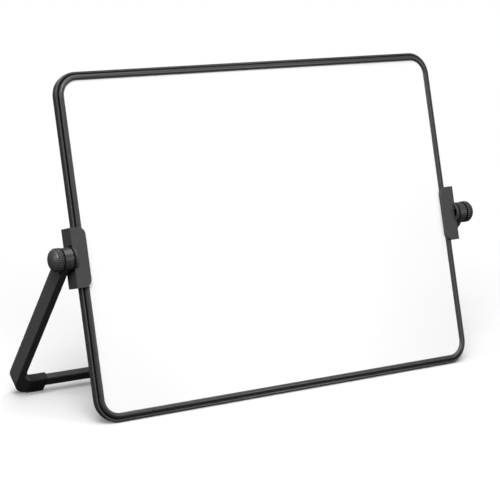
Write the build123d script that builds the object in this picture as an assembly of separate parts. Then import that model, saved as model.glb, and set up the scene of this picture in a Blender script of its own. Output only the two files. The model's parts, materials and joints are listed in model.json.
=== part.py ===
from build123d import *
import os
from math import acos, atan2, cos, degrees, hypot, radians, sin, sqrt

# Desk whiteboard easel. A double-sided board in a moulded frame is gripped at both sides by a
# bracket, and hangs between the arms of a U-shaped stand. A knob on each side clamps it.
# Millimetres. +X is the reader's right, +Y leads away from the reader, +Z is up.
# The desk is Z = 0, and the origin is the middle of the footprint's box.

# Board and frame
board_width = 406.4          # outside of the frame
board_height = 304.8
board_tilt = 12.9            # lean of the board from upright, in degrees
frame_depth = 12.2           # front bead crown to rear bead crown
frame_corner_radius = 21.0
frame_wall = 3.6             # frame outside the panel's edge
band_thickness = 1.6         # flat band round the outside
band_half_width = 3.3
band_edge = 0.6
groove_width = 1.1           # between the band and the bead
groove_floor = 2.0           # above mid-depth
bead_radius = 2.4
bead_stand = 2.2             # bead crown above the writing face
sheet_thickness = 0.4

# Pivot line, in the board
pivot_rise = 144.5           # above the frame's lower edge
pivot_forward = 4.15         # ahead of the frame's mid-depth

# Clamp brackets
bracket_height = 52.2
bracket_grip = 14.3          # from its inner edge to its outer face
bracket_side = 5.9           # wall outside the frame
bracket_plate = 2.5          # front and rear walls
bracket_corner = 7.0         # rounding of the inner corners
collar_radius = 9.9
collar_length = 0.6          # beyond the bracket's outer face
collar_overlap = 2.1         # over the bracket, on its inner side
collar_wall = 1.5
collar_hub = 5.6             # radius of the boss round the insert
collar_pocket = 2.0

# Bracket screws
screw_spacing = 34.0
screw_length = 8.0
screw_radius = 1.3
screw_head_radius = 2.6
screw_head_height = 1.3
screw_slot_length = 3.2
screw_slot_width = 0.7
screw_slot_depth = 0.7

# Clamp stack, outwards from the collar
insert_radius = 4.2
insert_length = 5.8
friction_washer_thickness = 0.8
friction_washer_bore = 4.4
eye_radius = 9.85
eye_length = 8.25
bush_radius = 4.5
knob_washer_radius = 8.0
knob_washer_thickness = 0.7

# Knobs and studs
stud_radius = 3.0            # M6
stud_end_gap = 0.6           # stud end to the bottom of the insert
stud_head_flats = 10.0
stud_head_height = 3.2
knob_radius = 10.05
knob_floor = 1.8             # under the stud's head
knob_grip_length = 4.9
knob_shoulder = 0.3
knob_edge = 0.5
cap_radius = 9.6
cap_dome = 5.4
cap_plug_radius = 7.2
cap_plug_bore = 6.1
cap_plug_length = 1.8

# Stand
arm_width = 15.8             # across the side of the arm
arm_thickness = 7.4
arm_back = 0.5               # arm's mid-plane behind the pivot line
arm_outset = 2.9             # bracket's outer face to the arm's inner face
arm_wall = 1.2
arm_edge = 0.6
flange_thickness = 1.5
flange_start = 10.2          # from the pivot line
plug_length = 15.0
elbow_inner_radius = 7.0
elbow_outer_radius = 17.5
elbow_hollow_gap = 6.0       # solid length above the elbow's inner bend
bar_depth = 11.2             # along the arms
bar_thickness = 6.1
bar_wall = 1.0
bar_edge = 1.0
bar_height = 10.9            # centre line above the desk
socket_depth = 5.0
socket_wall = 1.0            # elbow above the bar
swing_clearance = 2.9        # board's farthest edge to the cross bar

# Rubber foot sleeves
sleeve_length = 17.4
sleeve_wall = 1.4            # above and behind the bar
sleeve_front = 1.2           # wall in front of the bar
sleeve_drop = 7.4            # rubber below the bar, cut flat at the desk
sleeve_edge_radius = 2.0
sleeve_foot_radius = 0.8     # beside the flat
sleeve_end_radius = 0.8

# Fits
running_gap = 0.05           # radial, stud in its bush and insert
seat_gap = 0.05              # around fixed pieces in their seats
face_gap = 0.1               # between faces that turn on each other
elbow_desk_gap = 0.15

# Worked-out places. Local board frame: x right, y up the board, z out of the front face.
# Local stand frame: x right, y up the arms, z out of the arms' front. Both start at the pivot.
half_depth = frame_depth / 2
face_level = half_depth - bead_stand
board_centre = (0, board_height / 2 - pivot_rise, -pivot_forward)
bead_centre = band_thickness + groove_width + bead_radius
bead_inset = bead_centre + sqrt(bead_radius ** 2 - (bead_radius - bead_stand) ** 2)

tilt = radians(board_tilt)
# The rounded rear edge of the lower rail's band stands on the desk.
band_back = band_half_width - band_edge + pivot_forward
pivot_height = (pivot_rise - band_edge) * cos(tilt) + band_back * sin(tilt) + band_edge

farthest_rail = max(pivot_rise, board_height - pivot_rise)
swing_radius = hypot(farthest_rail - band_edge, band_back) + band_edge
bar_reach = swing_radius + swing_clearance + bar_depth / 2
# The bar's front is flush with the arms' front.
bar_forward = (arm_width - bar_thickness) / 2
bar_ahead = bar_forward - arm_back
slant = acos((pivot_height - bar_height) / hypot(bar_reach, bar_ahead)) + atan2(bar_ahead, bar_reach)
bar_back = bar_reach * sin(slant) - bar_ahead * cos(slant)

bracket_face = board_width / 2 + bracket_side
collar_face = bracket_face + collar_length
collar_start = bracket_face - collar_overlap
eye_start = collar_face + friction_washer_thickness + face_gap
eye_end = eye_start + eye_length
knob_start = eye_end + face_gap + knob_washer_thickness
knob_shoulder_start = knob_start + knob_grip_length
knob_end = knob_shoulder_start + knob_shoulder
stud_head_start = knob_start + knob_floor
insert_start = collar_face - insert_length
stud_end = insert_start + stud_end_gap

arm_inner = bracket_face + arm_outset
arm_outer = arm_inner + arm_thickness
arm_top = -(flange_start + flange_thickness)
elbow_top = -(bar_reach - bar_depth / 2 - socket_wall)
elbow_face = arm_inner - elbow_inner_radius
edge_lift = arm_edge * (cos(slant) + sin(slant) - 1)
elbow_corner_drop = (arm_width / 2 - arm_back) * sin(slant) - edge_lift
elbow_bottom = -(pivot_height - elbow_desk_gap - elbow_corner_drop) / cos(slant)

along_x = Rot(0, 90, 0)
arm_plane = Pos(0, 0, -arm_back)


def rod(start, end, radius):
    """Cylinder on the pivot line, from x = start to x = end."""
    return Pos(start, 0, 0) * along_x * extrude(Circle(radius), end - start)


def ring(start, end, radius, bore):
    return rod(start, end, radius) - rod(start, end, bore)


def hex_rod(start, end, flats):
    outline = RegularPolygon(flats / 2, 6, major_radius=False)
    return Pos(start, 0, 0) * along_x * extrude(outline, end - start)


def block(x_range, y_range, z_range):
    """Box between three pairs of limits."""
    ranges = (x_range, y_range, z_range)
    middle = [sum(pair) / 2 for pair in ranges]
    size = [pair[1] - pair[0] for pair in ranges]
    return Pos(*middle) * Box(*size)


def frame_section():
    """Half of the frame's section: x inwards from the outer edge, y from mid-depth to the front."""
    bend = band_edge * (1 - sqrt(0.5))
    centre_y = half_depth - bead_radius
    bead_outer = bead_centre - bead_radius
    # The bead's arc ends where it meets the sheet.
    outline = Curve() + [
        Line((0, 0), (0, band_half_width - band_edge)),
        ThreePointArc(
            (0, band_half_width - band_edge),
            (bend, band_half_width - bend),
            (band_edge, band_half_width),
        ),
        Line((band_edge, band_half_width), (band_thickness, band_half_width)),
        Line((band_thickness, band_half_width), (band_thickness, groove_floor)),
        Line((band_thickness, groove_floor), (bead_outer, groove_floor)),
        Line((bead_outer, groove_floor), (bead_outer, centre_y)),
        ThreePointArc((bead_outer, centre_y), (bead_centre, half_depth), (bead_inset, face_level)),
        Line((bead_inset, face_level), (frame_wall, face_level)),
        Line((frame_wall, face_level), (frame_wall, 0)),
        Line((frame_wall, 0), (0, 0)),
    ]
    return make_face(outline)


def frame_ring():
    """The front half of the frame, about the board's centre: four rails and four corners."""
    section = frame_section()
    side_x = board_width / 2 - frame_corner_radius
    side_y = board_height / 2 - frame_corner_radius
    body = Part()
    for turn, run, reach in (
        (0, side_x, board_height / 2),
        (90, side_y, board_width / 2),
        (180, side_x, board_height / 2),
        (270, side_y, board_width / 2),
    ):
        plane = Plane(origin=(0, -reach, 0), x_dir=(0, 1, 0), z_dir=(1, 0, 0))
        body += Rot(0, 0, turn) * extrude(plane * section, run, both=True)
    corner_plane = Plane(origin=(frame_corner_radius, 0, 0), x_dir=(-1, 0, 0), z_dir=(0, 1, 0))
    corner = revolve(corner_plane * section, Axis.Z, 90)
    for turn, x, y in ((0, side_x, side_y), (90, -side_x, side_y), (180, -side_x, -side_y), (270, side_x, -side_y)):
        body += Pos(x, y, 0) * Rot(0, 0, turn) * corner
    return body


def panel(low, high):
    """A layer of the board between two levels, just clear of the frame's wall."""
    inset = frame_wall + seat_gap
    outline = RectangleRounded(board_width - 2 * inset, board_height - 2 * inset, frame_corner_radius - inset)
    return Pos(0, 0, low) * extrude(outline, high - low)


def screw_places():
    """Both screws of the right bracket, as (x, y) in the pivot's frame, on the bead's centre."""
    return [(board_width / 2 - bead_centre, side * screw_spacing / 2) for side in (-1, 1)]


def screw(growth=0.0):
    """Countersunk screw along +z from its head at z = 0, or its hole if growth is given."""
    shank = extrude(Circle(screw_radius + growth), screw_length + growth)
    head = revolve(
        Plane.XZ * make_face(Polyline(
            (0, 0),
            (screw_head_radius + growth, 0),
            (screw_radius + growth, screw_head_height),
            (0, screw_head_height),
            close=True,
        )),
        Axis.Z,
    )
    return shank + head


def at_screws(shape):
    rear = -half_depth - bracket_plate - pivot_forward
    return [Pos(x, y, rear) * shape for x, y in screw_places()]


def screw_holes():
    """The holes of both brackets' screws, in the pivot's frame."""
    right = Part() + at_screws(screw(seat_gap))
    return right + mirror(right, about=Plane.YZ)


def bracket_screws():
    slot = block((-screw_slot_length / 2, screw_slot_length / 2),
                 (-screw_slot_width / 2, screw_slot_width / 2),
                 (0, screw_slot_depth))
    return Compound(at_screws(screw() - slot - Rot(0, 0, 90) * slot))


def clamp_bracket():
    """Right bracket: a C round the frame's side, with the collar on its outer face."""
    edge = board_width / 2
    inner = bracket_face - bracket_grip
    cavity = edge - bead_inset
    plate = half_depth + bracket_plate
    upper = [(inner, plate), (inner, face_level), (cavity, face_level), (cavity, half_depth), (edge, half_depth)]
    lower = [(x, -z) for x, z in reversed(upper)]
    section = make_face(Polyline((bracket_face, plate), *upper, *lower, (bracket_face, -plate), close=True))
    # The section stands in the x-z plane and runs up the board.
    wrap = Pos(0, 0, -pivot_forward) * extrude(Plane.XZ * section, bracket_height / 2, both=True)
    outline = block((inner, bracket_face), (-bracket_height / 2, bracket_height / 2), (-2 * plate, 2 * plate))
    inner_corners = outline.edges().filter_by(Axis.Z).group_by(Axis.X)[0]
    wrap = wrap & fillet(inner_corners, bracket_corner)
    collar = rod(collar_start, collar_face, collar_radius)
    # In front of the plate the collar is a cup round the insert's boss, open towards the board.
    front = plate - pivot_forward
    pocket = ring(collar_start, collar_start + collar_pocket, collar_radius - collar_wall, collar_hub)
    pocket &= block((collar_start, collar_face), (-collar_radius, collar_radius), (front, 2 * collar_radius))
    bore = rod(insert_start, collar_face, insert_radius + seat_gap)
    return wrap + collar - pocket - bore - screw_holes()


def thread_insert():
    return ring(insert_start, collar_face, insert_radius, stud_radius + running_gap)


def friction_washer():
    return ring(collar_face, collar_face + friction_washer_thickness, collar_radius, friction_washer_bore)


def knob_washer():
    return ring(eye_end + face_gap, knob_start, knob_washer_radius, stud_radius + seat_gap)


def eye_bush():
    return ring(eye_start, eye_end, bush_radius, stud_radius + running_gap)


def arm_eye():
    """Eye at the arm's top: barrel on the pivot, flange on the arm's end, plug inside the arm."""
    barrel = rod(eye_start, eye_end, eye_radius)
    half = arm_width / 2
    neck = block((arm_inner, eye_end), (-flange_start, 0), (-half, half))
    flange = block((arm_inner, arm_outer), (arm_top, -flange_start), (-half, half))
    plug = arm_core(arm_top - plug_length, arm_top, seat_gap)
    bore = rod(eye_start, eye_end, bush_radius + seat_gap)
    return barrel + arm_plane * (neck + flange + plug) - bore


def arm_core(low, high, gap):
    """The hollow of the arm between two heights, drawn in by a gap on its sides."""
    inset = arm_wall + gap
    half = arm_width / 2 - inset
    return block((arm_inner + inset, arm_outer - inset), (low, high), (-half, half))


def arm():
    """Right arm: straight down from the flange, then a thick elbow turned in towards the bar."""
    inner_turn = elbow_inner_radius * (1 - sqrt(0.5))
    centre_x = arm_outer - elbow_outer_radius
    centre_y = elbow_bottom + elbow_outer_radius
    # The outer curve is a circle under the elbow, cut off at the elbow's end face.
    end_drop = sqrt(elbow_outer_radius ** 2 - (elbow_face - centre_x) ** 2)
    diagonal = elbow_outer_radius * sqrt(0.5)
    outline = Curve() + [
        Line((arm_inner, arm_top), (arm_inner, elbow_top + elbow_inner_radius)),
        ThreePointArc(
            (arm_inner, elbow_top + elbow_inner_radius),
            (arm_inner - inner_turn, elbow_top + inner_turn),
            (elbow_face, elbow_top),
        ),
        Line((elbow_face, elbow_top), (elbow_face, centre_y - end_drop)),
        ThreePointArc(
            (elbow_face, centre_y - end_drop),
            (centre_x + diagonal, centre_y - diagonal),
            (arm_outer, centre_y),
        ),
        Line((arm_outer, centre_y), (arm_outer, arm_top)),
        Line((arm_outer, arm_top), (arm_inner, arm_top)),
    ]
    body = extrude(make_face(outline), arm_width / 2, both=True)
    rims = body.faces().sort_by(Axis.Z)
    body = fillet(rims[0].edges() + rims[-1].edges(), arm_edge)
    hollow_end = elbow_top + elbow_inner_radius + elbow_hollow_gap
    return body - arm_core(hollow_end, arm_top, 0) - bar_socket()


def bar_socket():
    """Square notch for the bar's end in the elbow, open at the front."""
    half = bar_depth / 2 + seat_gap
    rear = bar_forward - bar_thickness / 2 - seat_gap
    return block((elbow_face, elbow_face + socket_depth + seat_gap),
                 (-bar_reach - half, -bar_reach + half),
                 (rear, arm_width))


def bar_shape(reach, growth=0.0):
    """The cross bar's outside, out to x = reach on both sides."""
    section = RectangleRounded(bar_depth + 2 * growth, bar_thickness + 2 * growth, bar_edge)
    return Pos(0, -bar_reach, bar_forward) * Rot(0, 90, 0) * Rot(0, 0, 90) * extrude(section, reach, both=True)


def cross_bar():
    reach = elbow_face + socket_depth
    section = RectangleRounded(bar_depth - 2 * bar_wall, bar_thickness - 2 * bar_wall, bar_edge / 2)
    hollow = Pos(0, -bar_reach, bar_forward) * Rot(0, 90, 0) * Rot(0, 0, 90) * extrude(section, reach, both=True)
    return bar_shape(reach) - hollow


def foot_sleeve():
    """Right rubber sleeve round the bar, beside the elbow. It leans with the bar, and its lowest
    corner is cut flat on the desk. Upright axes, with z = 0 at the desk and y = 0 at the pivot."""

    def section_point(along, across):
        """(y, z) of a point given down the arms and to the rear from the bar's centre."""
        y = bar_back + along * sin(slant) + across * cos(slant)
        return (y, bar_height - along * cos(slant) + across * sin(slant))

    front = -(bar_thickness / 2 + sleeve_front)
    rear = bar_thickness / 2 + sleeve_wall
    top = -(bar_depth / 2 + sleeve_wall)
    bottom = bar_depth / 2 + sleeve_drop
    toe = section_point((bar_height + front * sin(slant)) / cos(slant), front)
    heel = section_point(bottom, (bottom * cos(slant) - bar_height) / sin(slant))
    brow = section_point(top, front)
    crest = section_point(top, rear)
    nape = section_point(bottom, rear)
    outline = make_face(Polyline(toe, brow, crest, nape, heel, close=True))
    outline = fillet(outline.vertices().sort_by(Axis.Y)[:2], sleeve_foot_radius)
    outline = fillet(outline.vertices().sort_by(Axis.Y)[-3:], sleeve_edge_radius)
    body = Pos(elbow_face - sleeve_length, 0, 0) * extrude(Plane.YZ * outline, sleeve_length)
    ends = body.faces().sort_by(Axis.X)
    return fillet(ends[0].edges() + ends[-1].edges(), sleeve_end_radius)


def knob_grip():
    """Moulded knob: grip, shoulder, a hexagonal pocket for the stud's head, a seat for the cap."""
    body = revolve(make_face(Polyline(
        (knob_start, 0),
        (knob_start, knob_radius - knob_edge),
        (knob_start + knob_edge, knob_radius),
        (knob_shoulder_start, knob_radius),
        (knob_end, knob_radius - knob_shoulder),
        (knob_end, 0),
        close=True,
    )), Axis.X)
    bore = rod(knob_start, stud_head_start, stud_radius + seat_gap)
    pocket = hex_rod(stud_head_start, knob_end, stud_head_flats + 2 * seat_gap)
    seat = rod(knob_end - cap_plug_length, knob_end, cap_plug_radius + seat_gap)
    return body - bore - pocket - seat


def knob_cap():
    """Domed cap: a slice of a sphere on a short tube that goes round the stud's head."""
    sphere_radius = (cap_radius ** 2 + cap_dome ** 2) / (2 * cap_dome)
    centre_x = knob_end + cap_dome - sphere_radius
    mid_radius = cap_radius / 2
    mid_x = centre_x + sqrt(sphere_radius ** 2 - mid_radius ** 2)
    plug_start = knob_end - cap_plug_length
    outline = Curve() + [
        Line((plug_start, cap_plug_bore), (plug_start, cap_plug_radius)),
        Line((plug_start, cap_plug_radius), (knob_end, cap_plug_radius)),
        Line((knob_end, cap_plug_radius), (knob_end, cap_radius)),
        ThreePointArc((knob_end, cap_radius), (mid_x, mid_radius), (knob_end + cap_dome, 0)),
        Line((knob_end + cap_dome, 0), (knob_end, 0)),
        Line((knob_end, 0), (knob_end, cap_plug_bore)),
        Line((knob_end, cap_plug_bore), (plug_start, cap_plug_bore)),
    ]
    return revolve(make_face(outline), Axis.X)


def knob_stud():
    head = hex_rod(stud_head_start, stud_head_start + stud_head_height, stud_head_flats)
    return rod(stud_end, stud_head_start, stud_radius) + head


def upright(shape):
    """From the pivot's height to the desk's axes, for what is already upright."""
    return Pos(0, 0, pivot_height) * shape


def on_board(shape):
    return upright(Rot(90 - board_tilt, 0, 0) * shape)


def on_stand(shape):
    return upright(Rot(90 + degrees(slant), 0, 0) * shape)


def pair(name, shape):
    """The right-hand piece and its mirror image."""
    return {f"right_{name}": shape, f"left_{name}": mirror(shape, about=Plane.YZ)}


def board_nodes():
    holes = screw_holes()
    at_centre = Pos(*board_centre)
    front_frame = frame_ring()
    rear_frame = mirror(front_frame, about=Plane.XY)
    sheet_inner = face_level - sheet_thickness
    nodes = {
        "front_frame": at_centre * front_frame,
        "rear_frame": at_centre * rear_frame - holes,
        "front_writing_sheet": at_centre * panel(sheet_inner, face_level),
        "rear_writing_sheet": at_centre * panel(-face_level, -sheet_inner) - holes,
        "core_panel": at_centre * panel(-sheet_inner, sheet_inner) - holes,
        **pair("clamp_bracket", clamp_bracket()),
        **pair("bracket_screws", bracket_screws()),
        **pair("thread_insert", thread_insert()),
        **pair("friction_washer", friction_washer()),
        **pair("knob_washer", knob_washer()),
        **pair("knob_grip", knob_grip()),
        **pair("knob_cap", knob_cap()),
        **pair("knob_stud", knob_stud()),
    }
    return {name: on_board(shape) for name, shape in nodes.items()}


def stand_nodes():
    nodes = {
        "cross_bar": arm_plane * cross_bar(),
        **pair("arm", arm_plane * arm()),
        **pair("arm_eye", arm_eye()),
        **pair("eye_bush", eye_bush()),
    }
    placed = {name: on_stand(shape) for name, shape in nodes.items()}
    sleeve = foot_sleeve() - on_stand(arm_plane * bar_shape(elbow_face + socket_depth, seat_gap))
    return {**placed, **pair("foot_sleeve", sleeve)}


def main():
    nodes = {**board_nodes(), **stand_nodes()}
    box = Compound([Compound(shape.solids()) for shape in nodes.values()]).bounding_box()
    origin_y = (box.min.Y + box.max.Y) / 2
    os.makedirs("parts", exist_ok=True)
    for name, shape in nodes.items():
        solids = [Pos(0, -origin_y, 0) * solid for solid in shape.solids()]
        export_step(solids[0] if len(solids) == 1 else Compound(solids), f"parts/{name}.step")
    print(f"pivot line at y = {-origin_y:.3f}, z = {pivot_height:.3f}")
    print(f"arms lean {degrees(slant):.2f} degrees, bar centre at y = {bar_back - origin_y:.3f}")
    print(f"knob from x = {knob_start:.2f}, elbow face {elbow_face:.2f}, arm inner face {arm_inner:.2f}")
    print(f"box {box.size.X:.2f} x {box.size.Y:.2f} x {box.size.Z:.2f}, base at z = {box.min.Z:.3f}")


main()
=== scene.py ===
# %% [markdown]
# # A desk whiteboard easel, dressed
#
# The construction comes ready made: every piece of the easel is already in the frame, at its real
# size and in its real place. What is left is how each surface looks. The first cell loads the frame
# and keeps its box.

import json
from math import atan2, cos, degrees, pi, radians, sin

import bmesh
import bpy
from mathutils import Euler, Matrix, Vector


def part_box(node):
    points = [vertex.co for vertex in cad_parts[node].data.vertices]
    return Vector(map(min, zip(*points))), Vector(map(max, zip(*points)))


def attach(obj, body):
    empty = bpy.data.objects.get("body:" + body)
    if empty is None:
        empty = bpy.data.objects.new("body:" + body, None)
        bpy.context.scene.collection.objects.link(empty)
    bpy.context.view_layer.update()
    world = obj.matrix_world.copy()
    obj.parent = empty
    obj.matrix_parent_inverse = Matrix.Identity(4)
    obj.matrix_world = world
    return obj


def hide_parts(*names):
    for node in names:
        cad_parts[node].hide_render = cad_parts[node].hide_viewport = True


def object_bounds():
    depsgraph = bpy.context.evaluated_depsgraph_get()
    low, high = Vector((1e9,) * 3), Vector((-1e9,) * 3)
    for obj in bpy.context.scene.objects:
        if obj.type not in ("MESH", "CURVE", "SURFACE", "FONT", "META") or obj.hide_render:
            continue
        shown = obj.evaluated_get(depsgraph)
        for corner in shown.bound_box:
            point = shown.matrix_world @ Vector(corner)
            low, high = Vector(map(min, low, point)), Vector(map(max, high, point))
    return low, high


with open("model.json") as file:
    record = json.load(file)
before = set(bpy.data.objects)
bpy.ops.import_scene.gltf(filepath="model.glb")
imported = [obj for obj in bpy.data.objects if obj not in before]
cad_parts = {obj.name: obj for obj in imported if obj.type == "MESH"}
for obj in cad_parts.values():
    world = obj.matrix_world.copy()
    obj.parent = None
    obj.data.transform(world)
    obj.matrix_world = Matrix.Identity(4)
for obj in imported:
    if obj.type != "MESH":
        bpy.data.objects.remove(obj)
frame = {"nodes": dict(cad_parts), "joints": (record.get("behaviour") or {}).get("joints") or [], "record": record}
cad_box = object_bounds()

# %% [markdown]
# ## Lines to measure from
#
# The pieces sit in two leaning planes, the board's and the stand's, which meet in the line through
# the knobs. That line and the board's lean say where shade is painted in the recesses and where the
# turned pieces are; the stand's lean is only printed beside it. They could be typed in again, but
# read from the frame they can't disagree with it.

# %% The pivot line, the board's lean and the stand's lean
tilt_joint = next(joint for joint in frame["joints"] if joint["name"] == "board_tilt")
pivot = Vector(tilt_joint["pos_m"])
writing_face = next(mount for mount in frame["record"]["mounts"]
                    if mount["name"] == "front_writing_face")
board_out = Vector(writing_face["axis"]).normalized()
board_up = Vector((0, board_out.z, -board_out.y))
bar_low, bar_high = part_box("cross_bar")
stand_down = ((bar_low + bar_high) / 2 - pivot).normalized()
print(f"board leans {degrees(atan2(board_up.y, board_up.z)):.1f} degrees")
print(f"stand leans {degrees(atan2(stand_down.y, -stand_down.z)):.1f} degrees")


SLOTS = {part["node"]: part["material_slot"] for part in frame["record"]["subparts"]}


def node(name):
    return frame["nodes"][name]


def body_of(name):
    """The body that a node belongs to."""
    bodies = frame["record"]["behaviour"]["bodies"]
    return next(body for body, names in bodies.items() if name in names)


SIDES = (("left", -1), ("right", 1))

# %% [markdown]
# ## Camera
#
# A long lens from the left, a little above: the board is seen almost without perspective, but its
# near edge is clearly taller than its far one. The eye is slightly tipped, so roll is set as well.

# %% Place the camera
camera_place = Vector((-0.8614, -1.3541, 0.4021))
camera_turn = radians(32.483)
camera_drop = radians(9.926)
camera_roll = radians(-0.824)
camera = bpy.data.cameras.new("eye")
camera.lens = 124.42
camera.sensor_width = 36.0
eye = bpy.data.objects.new("eye", camera)
bpy.context.collection.objects.link(eye)
level = Euler((pi / 2 - camera_drop, 0, -camera_turn)).to_matrix()
rolled = level @ Matrix.Rotation(camera_roll, 3, "Z")
eye.matrix_world = Matrix.Translation(camera_place) @ rolled.to_4x4()
bpy.context.scene.camera = eye
print(f"camera {(camera_place - pivot).length:.2f} m from the pivot line")

# %% [markdown]
# ## Node trees in a few lines
#
# Every finish and every repeated piece below is a node tree built in code. One helper adds a node
# and sets its inputs and its properties by name, which keeps the trees short enough to read.

# %% A helper for node trees
def add_node(tree, kind, **values):
    """A new node, with its inputs and properties set by name (_ stands for a space)."""
    made = tree.nodes.new(kind)
    for key, value in values.items():
        socket = key.replace("_", " ")
        if socket in made.inputs:
            made.inputs[socket].default_value = value
        else:
            setattr(made, key, value)
    return made


# %% [markdown]
# ## Floor, world and lamps
#
# A pale studio: a white paper floor that keeps the shadow and fades into a white surround. The
# surround is white to the camera only, and much dimmer as a lamp and in reflections, because a
# bright surround would wash the shape out of the black pieces. The soft boxes do the shaping: a
# large one high on the left in front, a wide one overhead, and a narrow one on the right, low,
# whose streak rounds the barrels. Two weak ones open up the left side and the back.

# %% World
strength_as_lamp, strength_seen = 0.16, 1.0
world = bpy.data.worlds.new("studio")
bpy.context.scene.world = world
world.use_nodes = True
tree = world.node_tree
tree.nodes.clear()
surround_light = add_node(tree, "ShaderNodeBackground", Color=(1, 1, 1, 1),
                          Strength=strength_as_lamp)
surround_seen = add_node(tree, "ShaderNodeBackground", Color=(1, 1, 1, 1),
                         Strength=strength_seen)
ray = add_node(tree, "ShaderNodeLightPath")
mix = add_node(tree, "ShaderNodeMixShader")
out = add_node(tree, "ShaderNodeOutputWorld")
tree.links.new(ray.outputs["Is Camera Ray"], mix.inputs["Fac"])
tree.links.new(surround_light.outputs[0], mix.inputs[1])
tree.links.new(surround_seen.outputs[0], mix.inputs[2])
tree.links.new(mix.outputs[0], out.inputs["Surface"])
bpy.context.scene.view_settings.view_transform = "Standard"
print("world light", surround_light.inputs["Strength"].default_value)

# %% Floor
paper_side, tone_bounced, tone_seen = 12.0, 0.05, 0.81
fade_start, fade_end = 0.32, 0.70
bpy.ops.mesh.primitive_plane_add(size=paper_side)
floor = bpy.context.object
floor.name = "floor"
paper = bpy.data.materials.new("white_paper")
paper.use_nodes = True
tree = paper.node_tree
surface = tree.nodes["Principled BSDF"]
surface.inputs["Roughness"].default_value = 0.9
surface.inputs["Specular IOR Level"].default_value = 0.1
# What bounces back up from the paper is kept darker than what is seen.
ray = add_node(tree, "ShaderNodeLightPath")
tone = add_node(tree, "ShaderNodeMix", data_type="RGBA")
tone.inputs["A"].default_value = (tone_bounced, tone_bounced, tone_bounced, 1)
tone.inputs["B"].default_value = (tone_seen, tone_seen, tone_seen, 1)
tree.links.new(ray.outputs["Is Camera Ray"], tone.inputs["Factor"])
tree.links.new(tone.outputs["Result"], surface.inputs["Base Color"])
# Away from the easel the paper turns into the plain white of the surround.
spot = add_node(tree, "ShaderNodeTexCoord")
far = add_node(tree, "ShaderNodeVectorMath", operation="LENGTH")
fade = add_node(tree, "ShaderNodeMapRange", From_Min=fade_start, From_Max=fade_end,
                interpolation_type="SMOOTHSTEP")
seen = add_node(tree, "ShaderNodeMath", operation="MULTIPLY")
glow = add_node(tree, "ShaderNodeEmission", Strength=1.0)
blend = add_node(tree, "ShaderNodeMixShader")
tree.links.new(spot.outputs["Object"], far.inputs[0])
tree.links.new(far.outputs["Value"], fade.inputs["Value"])
tree.links.new(fade.outputs["Result"], seen.inputs[0])
tree.links.new(ray.outputs["Is Camera Ray"], seen.inputs[1])
tree.links.new(seen.outputs[0], blend.inputs["Fac"])
tree.links.new(surface.outputs[0], blend.inputs[1])
tree.links.new(glow.outputs[0], blend.inputs[2])
tree.links.new(blend.outputs[0], tree.nodes["Material Output"].inputs["Surface"])
floor.data.materials.append(paper)
print("floor", tuple(round(side, 1) for side in floor.dimensions[:2]), "m")


# %% Lamps
def softbox(name, place, aim, size, power):
    """An area lamp of a width and a height in metres, turned towards its aim."""
    lamp = bpy.data.lights.new(name, "AREA")
    lamp.shape = "RECTANGLE"
    lamp.size, lamp.size_y = size
    lamp.energy = power
    made = bpy.data.objects.new(name, lamp)
    bpy.context.collection.objects.link(made)
    made.location = place
    made.rotation_euler = (Vector(aim) - Vector(place)).to_track_quat("-Z", "Y").to_euler()
    return made


middle = (cad_box[0] + cad_box[1]) / 2
softbox("key", (-1.1, -1.75, 2.1), middle, (1.5, 1.5), 66)
softbox("overhead", (0.0, -0.4, 2.3), middle, (2.0, 2.0), 38)
softbox("glint", (1.05, -1.70, 0.50), middle, (0.30, 0.80), 7)
softbox("left", (-2.2, -0.2, 0.9), middle, (1.2, 1.2), 12)
softbox("rear", (0.7, 2.4, 1.4), middle, (1.6, 1.6), 10)

# %% [markdown]
# ## One recipe for every finish
#
# Real surfaces differ less in colour than in how they scatter light. So each finish is built by the
# same recipe: a base colour with slow mottling and a few pale scuffs, a roughness that wanders, and
# a fine bump for the grain of the tool, the coat or the metal. All patterns are three-dimensional
# noise in the piece's own space, in metres, so they need no unwrapping and stay put when it moves.
# Four finishes also have shade painted into their recesses: darker colour and weaker gloss.

# %% The recipe
MOTTLE_OVER_GRAIN = 0.12
SCUFF_SCALE, SCUFF_START, SCUFF_END, SCUFF_LIFT = 90, 0.62, 0.72, 0.06
WANDER_SCALE = 60
# Painted shade: the near-black colour and the weak gloss that the recesses are painted with.
PAINTED_SHADE_TONE, PAINTED_SHADE_SPECULAR = 0.0015, 0.02


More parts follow.
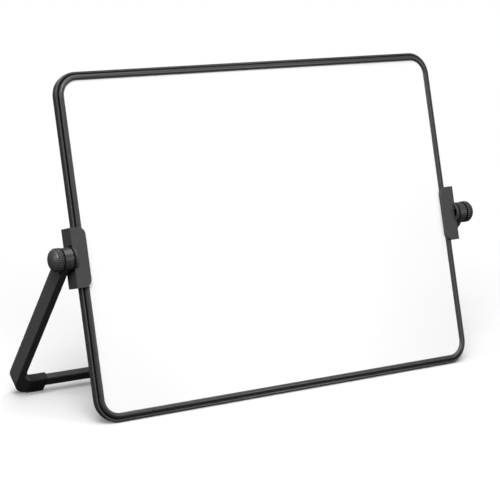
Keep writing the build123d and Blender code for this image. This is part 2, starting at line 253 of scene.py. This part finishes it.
def finish(name, colour, roughness, grain, depth, mottle=0.12, wander=0.06, scuffs=0.0,
           metallic=0.0, specular=0.5, stretch=(1, 1, 1), painted_shade=None):
    """A material. grain is the size of its texture and depth its height, both in metres. The last
    argument, if given, is a function that adds nodes and returns a socket, which is 1 where shade
    is painted: there the colour turns near black and the gloss weakens."""
    made = bpy.data.materials.new(name)
    made.use_nodes = True
    tree = made.node_tree
    surface = tree.nodes["Principled BSDF"]
    surface.inputs["Metallic"].default_value = metallic
    surface.inputs["Specular IOR Level"].default_value = specular

    place = add_node(tree, "ShaderNodeTexCoord")
    aligned = add_node(tree, "ShaderNodeMapping")
    aligned.inputs["Scale"].default_value = stretch
    tree.links.new(place.outputs["Object"], aligned.inputs["Vector"])

    def noise(scale, detail):
        pattern = add_node(tree, "ShaderNodeTexNoise", Scale=scale, Detail=detail)
        tree.links.new(aligned.outputs["Vector"], pattern.inputs["Vector"])
        return pattern.outputs["Fac"]

    def spread(source, low, high, start=0.3, end=0.7):
        """The noise between start and end, stretched to run from low to high."""
        scaled = add_node(tree, "ShaderNodeMapRange", From_Min=start, From_Max=end,
                          To_Min=low, To_Max=high)
        tree.links.new(source, scaled.inputs["Value"])
        return scaled.outputs["Result"]

    mottled = add_node(tree, "ShaderNodeMix", data_type="RGBA")
    mottled.inputs["A"].default_value = (*[part * (1 - mottle) for part in colour], 1)
    mottled.inputs["B"].default_value = (*[min(part * (1 + mottle), 1) for part in colour], 1)
    tree.links.new(spread(noise(MOTTLE_OVER_GRAIN / grain, 4), 0, 1), mottled.inputs["Factor"])
    scuffed = add_node(tree, "ShaderNodeMix", data_type="RGBA")
    scuffed.inputs["B"].default_value = (*[part + SCUFF_LIFT for part in colour], 1)
    patches = spread(noise(SCUFF_SCALE, 6), 0, scuffs, SCUFF_START, SCUFF_END)
    tree.links.new(patches, scuffed.inputs["Factor"])
    tree.links.new(mottled.outputs["Result"], scuffed.inputs["A"])
    final = scuffed.outputs["Result"]
    # Painted shade: where the mask is 1 the colour turns near black and the gloss weakens.
    if painted_shade:
        shade_amount = painted_shade(tree, place.outputs["Object"])
        shaded_colour = add_node(tree, "ShaderNodeMix", data_type="RGBA")
        shaded_colour.inputs["B"].default_value = (PAINTED_SHADE_TONE, PAINTED_SHADE_TONE, PAINTED_SHADE_TONE, 1)
        tree.links.new(final, shaded_colour.inputs["A"])
        tree.links.new(shade_amount, shaded_colour.inputs["Factor"])
        final = shaded_colour.outputs["Result"]
        shade_specular = add_node(tree, "ShaderNodeMapRange", To_Min=specular, To_Max=PAINTED_SHADE_SPECULAR)
        tree.links.new(shade_amount, shade_specular.inputs["Value"])
        tree.links.new(shade_specular.outputs["Result"], surface.inputs["Specular IOR Level"])
    tree.links.new(final, surface.inputs["Base Color"])

    rough = spread(noise(WANDER_SCALE, 3), roughness - wander, roughness + wander)
    tree.links.new(rough, surface.inputs["Roughness"])
    bump = add_node(tree, "ShaderNodeBump", Distance=depth, Strength=1.0)
    tree.links.new(noise(1 / grain, 2), bump.inputs["Height"])
    tree.links.new(bump.outputs["Normal"], surface.inputs["Normal"])
    return made


# %% [markdown]
# ## Painted shade in the recesses
#
# Narrow gaps are dark because little light comes back out of them. That shade is painted into the
# colour here, and the gloss is weakened with it. Four places get it: the groove that runs round the
# frame, the seams at both ends of the eye, the valleys between the ribs, and the bracket in and close
# round its collar. Each is found by its distance from something known: the board's outline, or the
# pivot line. A mask drawn on an image would have to be drawn again for each size.

# %% Where shade is painted
_, frame_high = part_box("front_frame")
half_width = frame_high.x
frame_points = [vertex.co for vertex in node("front_frame").data.vertices]
top_edge = max((point - pivot).dot(board_up) for point in frame_points)
low_edge = min((point - pivot).dot(board_up) for point in frame_points)
# The painted shade in the frame's groove: how far in it lies, its blur and its strength.
frame_corner, groove_outer, groove_inner = 0.021, 0.0016, 0.0027
groove_blur, groove_shade_strength = 0.0002, 0.75

eye_low, eye_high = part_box("right_arm_eye")
grip_low, grip_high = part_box("right_knob_grip")
washer_low, washer_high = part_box("right_friction_washer")
# Painted shade at the eye's seams and in the grip's valleys: widths, blurs and strength.
inner_seam, outer_seam, seam_blur = 0.0004, 0.0005, 0.0001
grip_edge, valley_skin, valley_blur, valley_shade_strength = 0.0006, 0.00004, 0.00008, 0.7
grip_radius = (grip_high.z - grip_low.z) / 2
washer_radius = (washer_high.z - washer_low.z) / 2

# The bracket is a plain prism at heights where its collar can't be met.
clear_of_collar, collar_wall = 0.02, 0.0014
plain_points = [vertex.co for vertex in node("right_clamp_bracket").data.vertices
                if abs((vertex.co - pivot).dot(board_up)) > clear_of_collar]
plate_front = max((point - pivot).dot(board_out) for point in plain_points)
side_wall = max(abs(point.x) for point in plain_points)
# Painted shade in the cup inside the collar and in a ring on the side wall round the collar.
cup_radius = washer_radius - collar_wall
cup_start, cup_blur = plate_front + 0.0002, 0.0001
ring_width, ring_blur, ring_shade_strength, wall_skin = 0.0008, 0.0014, 0.85, 0.0001


def maths(tree, operation, first, second=0.0):
    """A Math node on sockets or numbers."""
    made = tree.nodes.new("ShaderNodeMath")
    made.operation = operation
    for socket, value in zip(made.inputs, (first, second)):
        if isinstance(value, bpy.types.NodeSocket):
            tree.links.new(value, socket)
        else:
            socket.default_value = value
    return made.outputs[0]


def along(tree, place, start, way):
    """How far a point lies from a start, measured one way."""
    shifted = add_node(tree, "ShaderNodeVectorMath", operation="SUBTRACT")
    tree.links.new(place, shifted.inputs[0])
    shifted.inputs[1].default_value = start
    made = add_node(tree, "ShaderNodeVectorMath", operation="DOT_PRODUCT")
    tree.links.new(shifted.outputs["Vector"], made.inputs[0])
    made.inputs[1].default_value = way
    return made.outputs["Value"]


def off_middle(tree, place):
    """How far a point lies from the middle of the easel, to the left or to the right."""
    return maths(tree, "ABSOLUTE", along(tree, place, pivot, (1, 0, 0)))


def diagonal(tree, first, second):
    """The distance that two distances at right angles make together."""
    squares = maths(tree, "ADD", maths(tree, "MULTIPLY", first, first),
                    maths(tree, "MULTIPLY", second, second))
    return maths(tree, "SQRT", squares)


def beyond(tree, value, limit):
    """How far a value passes a limit, or 0."""
    return maths(tree, "MAXIMUM", maths(tree, "SUBTRACT", value, limit), 0.0)


def between(tree, value, low, high, blur):
    """1 between two limits, falling to 0 over the blur outside them."""
    rise = add_node(tree, "ShaderNodeMapRange", From_Min=low - blur, From_Max=low)
    fall = add_node(tree, "ShaderNodeMapRange", From_Min=high, From_Max=high + blur,
                    To_Min=1.0, To_Max=0.0)
    tree.links.new(value, rise.inputs["Value"])
    tree.links.new(value, fall.inputs["Value"])
    return maths(tree, "MULTIPLY", rise.outputs["Result"], fall.outputs["Result"])


def frame_groove_shade(tree, place):
    """Painted shade between band and bead, measured inwards from the frame's rounded outline."""
    middle_up, half_height = (top_edge + low_edge) / 2, (top_edge - low_edge) / 2
    sideways = off_middle(tree, place)
    upwards = maths(tree, "ABSOLUTE", along(tree, place, pivot + middle_up * board_up, board_up))
    over_x = beyond(tree, sideways, half_width - frame_corner)
    over_y = beyond(tree, upwards, half_height - frame_corner)
    inwards = maths(tree, "SUBTRACT", frame_corner, diagonal(tree, over_x, over_y))
    groove = between(tree, inwards, groove_outer, groove_inner, groove_blur)
    return maths(tree, "MULTIPLY", groove, groove_shade_strength)


def seam_shade(*limits):
    """Painted shade in bands across the pivot line, between distances from the middle."""
    def painted_shade(tree, place):
        out = off_middle(tree, place)
        total = 0.0
        for low, high in limits:
            total = maths(tree, "MAXIMUM", between(tree, out, low, high, seam_blur), total)
        return total
    return painted_shade


def from_pivot_line(tree, place):
    """How far a point lies from the pivot line."""
    forwards = along(tree, place, pivot, board_out)
    upwards = along(tree, place, pivot, board_up)
    return diagonal(tree, forwards, upwards)


def grip_valley_shade(tree, place):
    """Painted shade on the grip's own skin between its ribs, and on its edge at the eye."""
    off_line = from_pivot_line(tree, place)
    valley = between(tree, off_line, 0.0, grip_radius + valley_skin, valley_blur)
    edge = seam_shade((0, grip_low.x + grip_edge))(tree, place)
    return maths(tree, "MAXIMUM", edge, maths(tree, "MULTIPLY", valley, valley_shade_strength))


def collar_shade(tree, place):
    """Painted shade in the cup of the bracket's collar and in a ring on the side wall round it."""
    forwards = along(tree, place, pivot, board_out)
    off_line = from_pivot_line(tree, place)
    inside = between(tree, off_line, 0.0, cup_radius, cup_blur)
    ahead = between(tree, forwards, cup_start, cup_radius, cup_blur)
    cup = maths(tree, "MULTIPLY", inside, ahead)
    outwards = off_middle(tree, place)
    close = between(tree, off_line, washer_radius, washer_radius + ring_width, ring_blur)
    wall = between(tree, outwards, side_wall - wall_skin, side_wall + wall_skin, wall_skin)
    ring = maths(tree, "MULTIPLY", close, maths(tree, "MULTIPLY", wall, ring_shade_strength))
    return maths(tree, "MAXIMUM", cup, ring)


print(f"plate {1000 * plate_front:.2f} mm in front of the pivot line, "
      f"cup {1000 * cup_radius:.2f} mm in radius")

# %% [markdown]
# ## The finishes
#
# Most of the easel is black, and it only reads because the blacks differ: the frame and the eyes
# are satin, the brackets come grained from a spark-eroded mould, the arms carry the slight orange
# peel of powder coat, the knobs lie between them and the sleeves are dull rubber. The writing
# sheets are steel under hard white paint, so they are smooth, with almost no texture. Brass, steel,
# nylon and fibreboard sit inside, and show when the piece is taken apart.

# %% One material for each slot of the record
# The frame, bracket, eye and knob finishes have shade painted into their recesses.
FINISHES = {
    "frame_plastic": finish("frame_plastic", (0.036, 0.036, 0.037), 0.30, 0.0004, 0.000006,
                            mottle=0.05, wander=0.03, scuffs=0.08, painted_shade=frame_groove_shade),
    "bracket_plastic": finish("bracket_plastic", (0.050, 0.050, 0.051), 0.62, 0.0003, 0.00004,
                              mottle=0.05, scuffs=0.12, specular=0.3, painted_shade=collar_shade),
    "eye_plastic": finish("eye_plastic", (0.044, 0.044, 0.045), 0.26, 0.0003, 0.000010,
                          mottle=0.06, scuffs=0.1,
                          painted_shade=seam_shade((0, eye_low.x + inner_seam), (eye_high.x - outer_seam, 1))),
    "knob_plastic": finish("knob_plastic", (0.062, 0.062, 0.063), 0.40, 0.0003, 0.000010,
                           mottle=0.06, scuffs=0.1, painted_shade=grip_valley_shade),
    "cap_plastic": finish("cap_plastic", (0.050, 0.050, 0.051), 0.36, 0.0004, 0.000008,
                          mottle=0.06, scuffs=0.1),
    "stand_metal": finish("stand_metal", (0.070, 0.070, 0.071), 0.62, 0.0005, 0.00002,
                          mottle=0.06, scuffs=0.12, specular=0.18),
    "foot_rubber": finish("foot_rubber", (0.034, 0.034, 0.034), 0.75, 0.0005, 0.00003,
                          mottle=0.12, specular=0.2),
    "writing_sheet": finish("writing_sheet", (0.90, 0.90, 0.90), 0.20, 0.006, 0.000003,
                            mottle=0.005, wander=0.03, specular=0.25),
    "core_board": finish("core_board", (0.42, 0.31, 0.19), 0.85, 0.0006, 0.00008,
                         mottle=0.25, stretch=(1, 1, 3)),
    "screw_steel": finish("screw_steel", (0.55, 0.55, 0.56), 0.34, 0.0002, 0.00001,
                          metallic=1.0, stretch=(6, 1, 1)),
    "insert_brass": finish("insert_brass", (0.68, 0.50, 0.20), 0.30, 0.0002, 0.00001,
                           metallic=1.0, stretch=(8, 1, 1)),
    "washer_plastic": finish("washer_plastic", (0.003, 0.003, 0.003), 0.6, 0.0003, 0.00001,
                             specular=0.05),
    "bush_plastic": finish("bush_plastic", (0.78, 0.76, 0.69), 0.45, 0.0003, 0.00001,
                           mottle=0.04),
}
for name, cad_object in frame["nodes"].items():
    cad_object.data.materials.clear()
    cad_object.data.materials.append(FINISHES[SLOTS[name]])
print(len(FINISHES), "finishes on", len(frame["nodes"]), "nodes")

# %% [markdown]
# ## Softened edges
#
# Nothing moulded, coated or cast has a knife edge: light catches on every rim, and that thin line
# is what makes a black piece look real. The meshes of the construction stay as they came, so each
# piece that needs it is copied. The copy's loose triangles are merged into clean faces, and a Bevel
# modifier rounds what is still sharp. The radius follows the process: wide on rubber, narrow on
# coated metal.

# %% Copy, merge and bevel
SAME_POINT, SAME_PLANE = 2e-6, radians(0.8)


def softened(name, radius, sharp=38, steps=3):
    """A copy of a node with its sharp edges rounded, which stands for the node."""
    mesh = node(name).data.copy()
    work = bmesh.new()
    work.from_mesh(mesh)
    bmesh.ops.remove_doubles(work, verts=work.verts, dist=SAME_POINT)
    bmesh.ops.dissolve_limit(work, angle_limit=SAME_PLANE, verts=work.verts, edges=work.edges)
    for face in work.faces:
        face.smooth = True
    work.to_mesh(mesh)
    work.free()
    made = bpy.data.objects.new(name + "_softened", mesh)
    bpy.context.collection.objects.link(made)
    bevel = made.modifiers.new("edges", "BEVEL")
    bevel.width = radius
    bevel.segments = steps
    bevel.limit_method = "ANGLE"
    bevel.angle_limit = radians(sharp)
    bevel.use_clamp_overlap = True
    even = made.modifiers.new("even_shading", "WEIGHTED_NORMAL")
    even.keep_sharp = True
    claim(made, name)
    return made


def claim(made, name):
    """The piece stands for the node and moves with its body."""
    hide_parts(name)
    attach(made, body_of(name))


edge_radii = {"clamp_bracket": 0.00045, "arm_eye": 0.0004, "arm": 0.0004, "foot_sleeve": 0.0012}
bar_edge = 0.0003
softened_pieces = [softened("cross_bar", bar_edge)]
for side, _ in SIDES:
    for part, radius in edge_radii.items():
        softened_pieces.append(softened(f"{side}_{part}", radius))
print(len(softened_pieces), "pieces with softened edges")

# %% [markdown]
# ## Turned pieces
#
# The knob's cap is a deep dome. A profile drawn from its rim to its crown and turned about the
# pivot line gives it exactly, with as many steps round as it needs to look round. Sculpting or a
# squashed sphere would only come near, and their rims wouldn't meet the grip.

# %% Turn a profile about the pivot line
def turned(name, profile, side, steps=96):
    """A closed solid from (distance along the line, radius) points, first and last on the line."""
    work = bmesh.new()
    rings = []
    for reach, radius in profile:
        if radius == 0:
            rings.append([work.verts.new((side * reach, pivot.y, pivot.z))])
            continue
        angles = [2 * pi * step / steps for step in range(steps)]
        rings.append([work.verts.new((side * reach, pivot.y + radius * cos(angle),
                                      pivot.z + radius * sin(angle))) for angle in angles])
    for first, second in zip(rings, rings[1:]):
        for step in range(steps):
            corners = []
            for ring, places in ((first, (step, step + 1)), (second, (step + 1, step))):
                corners += [ring[0]] if len(ring) == 1 else [ring[at % steps] for at in places]
            work.faces.new(corners).smooth = True
    bmesh.ops.recalc_face_normals(work, faces=work.faces)
    mesh = bpy.data.meshes.new(name)
    work.to_mesh(mesh)
    work.free()
    made = bpy.data.objects.new(name, mesh)
    bpy.context.collection.objects.link(made)
    return made


# %% The domed caps
cap_low, cap_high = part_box("right_knob_cap")
grip_start, cap_seat = grip_low.x, grip_high.x
cap_start, cap_crown = cap_low.x, cap_high.x
cap_inset = 0.0003
cap_rim = grip_radius - cap_inset
plug_radius, plug_bore = 0.0072, 0.0061
dome_steps = 18
dome = [(cap_seat + (cap_crown - cap_seat) * sin(a), cap_rim * cos(a))
        for a in (pi / 2 * step / dome_steps for step in range(dome_steps))]
cap_profile = [(cap_seat, 0), (cap_seat, plug_bore), (cap_start, plug_bore),
               (cap_start, plug_radius), (cap_seat, plug_radius), *dome, (cap_crown, 0)]
for side_name, side in SIDES:
    cap = turned(f"{side_name}_domed_cap", cap_profile, side)
    cap.data.materials.append(FINISHES["cap_plastic"])
    claim(cap, f"{side_name}_knob_cap")
print(f"caps {1000 * cap_rim:.1f} mm in radius, {1000 * (cap_crown - cap_seat):.1f} mm deep")

# %% [markdown]
# ## What repeats round a circle
#
# The grip of a knob has a ring of fine ribs, and the friction washer bites with a ring of small
# teeth. Both are the same rule: one small tapered bar, set again and again round a circle. That is
# a job for Geometry Nodes. The tree takes the sizes as named inputs, puts a cone on every point of
# a circle, and turns the copies into real mesh at the end. Ribs modelled one by one would look the
# same, but would have to be made again for every change of size.

# %% The tree
def ring_tree():
    """The node group that sets tapered bars round a circle."""
    tree = bpy.data.node_groups.new("bars_round_a_circle", "GeometryNodeTree")
    face = tree.interface
    face.new_socket("Geometry", in_out="OUTPUT", socket_type="NodeSocketGeometry")
    for label, kind in (("Count", "Int"), ("Sides", "Int"), ("Circle Radius", "Float"),
                        ("Foot Radius", "Float"), ("Tip Radius", "Float"), ("Length", "Float"),
                        ("Turn", "Float"), ("Finish", "Material")):
        face.new_socket(label, in_out="INPUT", socket_type=f"NodeSocket{kind}")
    given = add_node(tree, "NodeGroupInput")
    circle = add_node(tree, "GeometryNodeMeshCircle")
    bar = add_node(tree, "GeometryNodeMeshCone", Side_Segments=2)
    copies = add_node(tree, "GeometryNodeInstanceOnPoints")
    turn = add_node(tree, "ShaderNodeCombineXYZ")
    turned_ring = add_node(tree, "GeometryNodeTransform")
    real = add_node(tree, "GeometryNodeRealizeInstances")
    smooth = add_node(tree, "GeometryNodeSetShadeSmooth")
    coated = add_node(tree, "GeometryNodeSetMaterial")
    done = add_node(tree, "NodeGroupOutput")
    for source, target, socket in (
        (given.outputs["Count"], circle, "Vertices"),
        (given.outputs["Circle Radius"], circle, "Radius"),
        (given.outputs["Sides"], bar, "Vertices"),
        (given.outputs["Foot Radius"], bar, "Radius Bottom"),
        (given.outputs["Tip Radius"], bar, "Radius Top"), (given.outputs["Length"], bar, "Depth"),
        (circle.outputs[0], copies, "Points"), (bar.outputs["Mesh"], copies, "Instance"),
        (given.outputs["Turn"], turn, "Z"), (turn.outputs[0], turned_ring, "Rotation"),
        (copies.outputs[0], turned_ring, "Geometry"), (turned_ring.outputs[0], smooth, "Geometry"),
        (smooth.outputs[0], real, "Geometry"), (real.outputs[0], coated, "Geometry"),
        (given.outputs["Finish"], coated, "Material"), (coated.outputs[0], done, "Geometry"),
    ):
        tree.links.new(source, target.inputs[socket])
    return tree


bars_round_a_circle = ring_tree()


# %% Run the tree and keep its mesh
def ring_of_bars(name, body, slot, place, **sizes):
    """A ring of bars that point along the place's Z axis, as one plain mesh on a body."""
    mesh = bpy.data.meshes.new(name)
    made = bpy.data.objects.new(name, mesh)
    bpy.context.collection.objects.link(made)
    maker = made.modifiers.new("ring", "NODES")
    maker.node_group = bars_round_a_circle
    wanted = {key.replace("_", " ").title(): value for key, value in sizes.items()}
    wanted["Finish"] = FINISHES[slot]
    for item in bars_round_a_circle.interface.items_tree:
        if item.in_out == "INPUT":
            maker[item.identifier] = wanted[item.name]
    ready = made.evaluated_get(bpy.context.evaluated_depsgraph_get())
    made.data = bpy.data.meshes.new_from_object(ready)
    made.modifiers.clear()
    made.data.name = name
    made.data.transform(place)
    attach(made, body)
    return made


def along_pivot(side, start):
    """The place, a distance off the middle, whose Z axis points outwards along the pivot line."""
    turn = Matrix.Rotation(side * pi / 2, 4, "Y")
    return Matrix.Translation((side * start, pivot.y, pivot.z)) @ turn


# %% Ribs of the knobs and teeth of the washers
rib_count, rib_sides, rib_foot, rib_tip = 32, 10, 0.0007, 0.0006
rib_gap, rib_sunk, rib_over = 0.0003, 0.0004, 0.0002
tooth_count, tooth_sides, tooth_foot, tooth_tip, tooth_length = 18, 4, 0.0019, 0.0012, 0.0013
tooth_inset, tooth_sunk = 0.0012, 0.0002
washer_start, washer_end = washer_low.x, washer_high.x
for side_name, side in SIDES:
    ring_of_bars(f"{side_name}_knob_ribs", f"{side_name}_knob", "knob_plastic",
                 along_pivot(side, grip_start + rib_gap), count=rib_count, sides=rib_sides,
                 circle_radius=grip_radius - rib_sunk, foot_radius=rib_foot, tip_radius=rib_tip,
                 length=cap_seat - grip_start + rib_over, turn=0.0)
    for label, start, way, turn in (("outer", washer_end - tooth_sunk, 1, 0.0),
                                    ("inner", washer_start + tooth_sunk, -1, pi / tooth_count)):
        place = along_pivot(side, start) @ Matrix.Diagonal((1, 1, way, 1))
        teeth = ring_of_bars(f"{side_name}_{label}_washer_teeth", "board", "washer_plastic", place,
                             count=tooth_count, sides=tooth_sides,
                             circle_radius=washer_radius - tooth_inset, foot_radius=tooth_foot,
                             tip_radius=tooth_tip, length=tooth_length, turn=turn)
        if way < 0:
            teeth.data.flip_normals()
print(rib_count, "ribs a knob,", tooth_count, "teeth a washer face")
